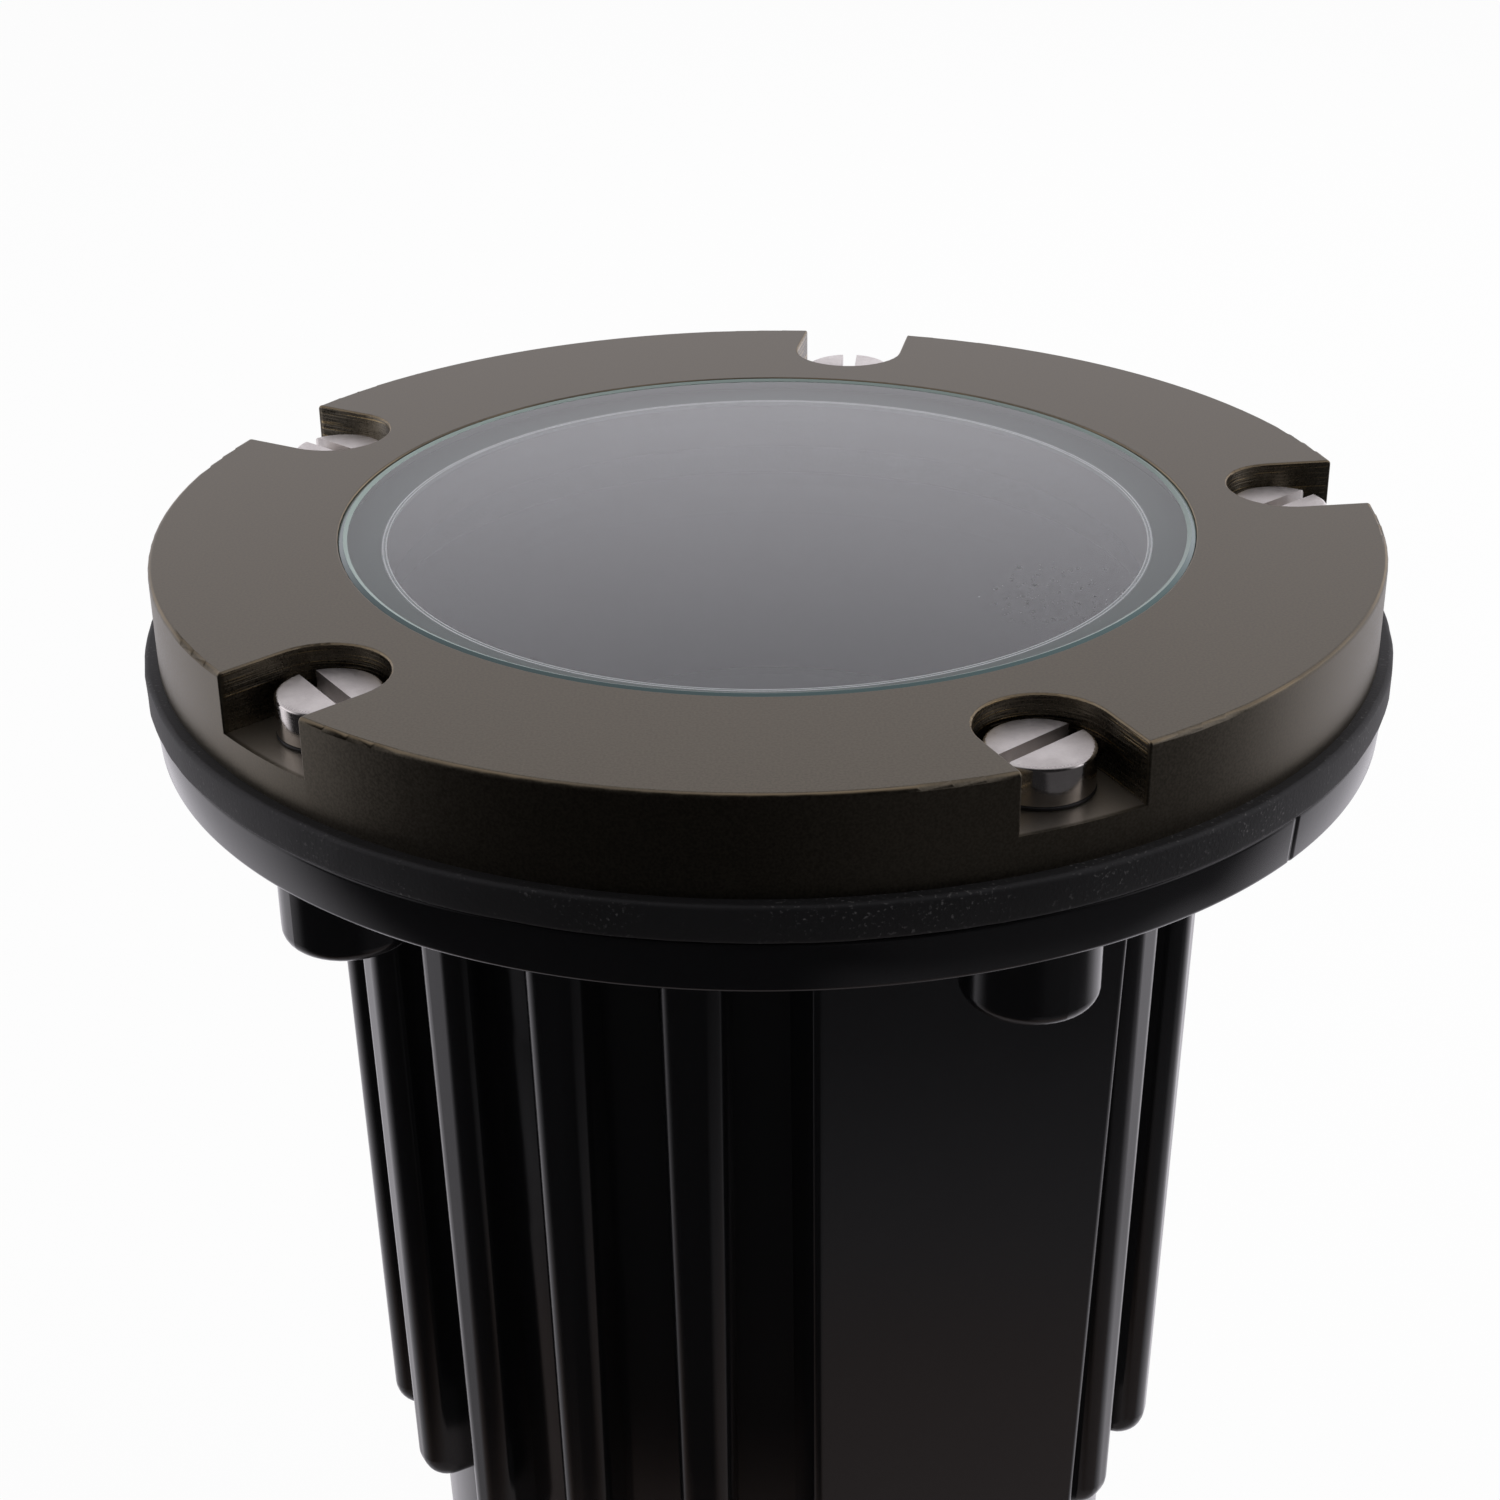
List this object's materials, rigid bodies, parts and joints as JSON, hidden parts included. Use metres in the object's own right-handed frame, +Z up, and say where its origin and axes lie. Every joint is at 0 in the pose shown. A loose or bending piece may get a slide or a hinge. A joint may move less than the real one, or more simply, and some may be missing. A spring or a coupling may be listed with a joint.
{
  "type": "in-ground well light",
  "caption": "In-ground well light: notched round face ring with flush glass and slotted screws, rubber gasket, ribbed black housing with cable gland, lamp on a swivelling and tilting bracket.",
  "frame": {"origin": "centre of the housing's base, on the floor it stands on", "axes": "+Z up along the housing's axis; -Y towards the viewer of the picture; the flat panel faces 296.6 degrees from +X"},
  "size_m": [0.1228, 0.1228, 0.165],
  "materials": {
    "dark_bronze": "dark bronzed brass, satin, turned",
    "clear_glass": "clear, polished",
    "black_rubber": "matte black",
    "grey_silicone": "bonding seal, satin grey",
    "black_plastic": "moulded, glossy black",
    "gland_plastic": "moulded, satin black",
    "nickel_steel": "satin, bright",
    "black_steel": "blackened",
    "zinc_steel": "zinc plated, satin",
    "insert_brass": "machined",
    "white_nylon": "moulded, satin white",
    "lamp_aluminium": "spun, satin",
    "lamp_glass": "clear, fluted",
    "white_board": "white solder mask",
    "amber_resin": "phosphor yellow resin",
    "white_ceramic": null,
    "lead_rubber": "insulated wire, satin black"
  },
  "bodies": {
    "housing": {"housing": "black_plastic", "housing_flange": "black_plastic", "housing_floor": "black_plastic", "boss_inserts": "insert_brass", "flange_gasket": "black_rubber", "gland_body": "gland_plastic", "gland_washer": "black_rubber", "gland_locknut": "gland_plastic", "swivel_washer": "zinc_steel", "swivel_screw": "zinc_steel"},
    "gland_bush": {"gland_seal": "black_rubber"},
    "gland_cap": {"gland_nut": "gland_plastic"},
    "face_ring": {"face_ring": "dark_bronze", "lens_glass": "clear_glass", "lens_seal": "grey_silicone"},
    "washer_1": {"face_washer_1": "black_steel"},
    "screw_1": {"face_screw_1": "nickel_steel"},
    "washer_2": {"face_washer_2": "black_steel"},
    "screw_2": {"face_screw_2": "nickel_steel"},
    "washer_3": {"face_washer_3": "black_steel"},
    "screw_3": {"face_screw_3": "nickel_steel"},
    "washer_4": {"face_washer_4": "black_steel"},
    "screw_4": {"face_screw_4": "nickel_steel"},
    "washer_5": {"face_washer_5": "black_steel"},
    "screw_5": {"face_screw_5": "nickel_steel"},
    "bracket": {"lamp_bracket": "zinc_steel", "terminal_block": "white_nylon", "terminal_screws": "zinc_steel"},
    "lamp": {"lamp_ring": "zinc_steel", "tilt_screws": "zinc_steel", "tilt_spacers": "white_nylon", "lamp_shell": "lamp_aluminium", "lamp_lens": "lamp_glass", "led_board": "white_board", "led_emitter": "amber_resin", "lamp_pins": "zinc_steel", "lamp_clip": "zinc_steel", "lamp_socket": "white_ceramic", "front_lead": "lead_rubber", "rear_lead": "lead_rubber"}
  },
  "joints": [
    {"name": "ring_lift", "type": "slide", "parent": "housing", "child": "face_ring", "axis": [0, 0, 1], "range_m": [0, 0.08]},
    {"name": "lamp_swivel", "type": "hinge", "parent": "housing", "child": "bracket", "pos_m": [0, 0, 0.0495], "axis": [0, 0, 1], "range_deg": [-170, 170]},
    {"name": "lamp_tilt", "type": "hinge", "parent": "bracket", "child": "lamp", "pos_m": [0, 0, 0.128], "axis": [1, 0, 0], "range_deg": [-15, 15], "deforming": ["front_lead", "rear_lead"]},
    {"name": "gland_seal_slide", "type": "slide", "parent": "housing", "child": "gland_bush", "axis": [0, 0, -1], "range_m": [0, 0.003]},
    {"name": "gland_nut_turn", "type": "hinge", "parent": "gland_bush", "child": "gland_cap", "pos_m": [-0.00873, 0.01744, 0.024], "axis": [0, 0, -1], "range_deg": [0, 720]},
    {"name": "screw_1_rise", "type": "slide", "parent": "face_ring", "child": "washer_1", "axis": [0, 0, 1], "range_m": [0, 0.009]},
    {"name": "screw_1_turn", "type": "hinge", "parent": "washer_1", "child": "screw_1", "pos_m": [0.02248, -0.04734, 0.1595], "axis": [0, 0, 1], "range_deg": [0, 3240]},
    {"name": "screw_2_rise", "type": "slide", "parent": "face_ring", "child": "washer_2", "axis": [0, 0, 1], "range_m": [0, 0.009]},
    {"name": "screw_2_turn", "type": "hinge", "parent": "washer_2", "child": "screw_2", "pos_m": [0.05196, 0.00675, 0.1595], "axis": [0, 0, 1], "range_deg": [0, 3240]},
    {"name": "screw_3_rise", "type": "slide", "parent": "face_ring", "child": "washer_3", "axis": [0, 0, 1], "range_m": [0, 0.009]},
    {"name": "screw_3_turn", "type": "hinge", "parent": "washer_3", "child": "screw_3", "pos_m": [0.00964, 0.05151, 0.1595], "axis": [0, 0, 1], "range_deg": [0, 3240]},
    {"name": "screw_4_rise", "type": "slide", "parent": "face_ring", "child": "washer_4", "axis": [0, 0, 1], "range_m": [0, 0.009]},
    {"name": "screw_4_turn", "type": "hinge", "parent": "washer_4", "child": "screw_4", "pos_m": [-0.04601, 0.02508, 0.1595], "axis": [0, 0, 1], "range_deg": [0, 3240]},
    {"name": "screw_5_rise", "type": "slide", "parent": "face_ring", "child": "washer_5", "axis": [0, 0, 1], "range_m": [0, 0.009]},
    {"name": "screw_5_turn", "type": "hinge", "parent": "washer_5", "child": "screw_5", "pos_m": [-0.03807, -0.036, 0.1595], "axis": [0, 0, 1], "range_deg": [0, 3240]}
  ],
  "couplings": [
    {"joint": "gland_nut_turn", "follows": "gland_seal_slide", "rad_per_m": 4188.8},
    {"joint": "screw_1_turn", "follows": "screw_1_rise", "rad_per_m": 6283.2},
    {"joint": "screw_2_turn", "follows": "screw_2_rise", "rad_per_m": 6283.2},
    {"joint": "screw_3_turn", "follows": "screw_3_rise", "rad_per_m": 6283.2},
    {"joint": "screw_4_turn", "follows": "screw_4_rise", "rad_per_m": 6283.2},
    {"joint": "screw_5_turn", "follows": "screw_5_rise", "rad_per_m": 6283.2}
  ]
}
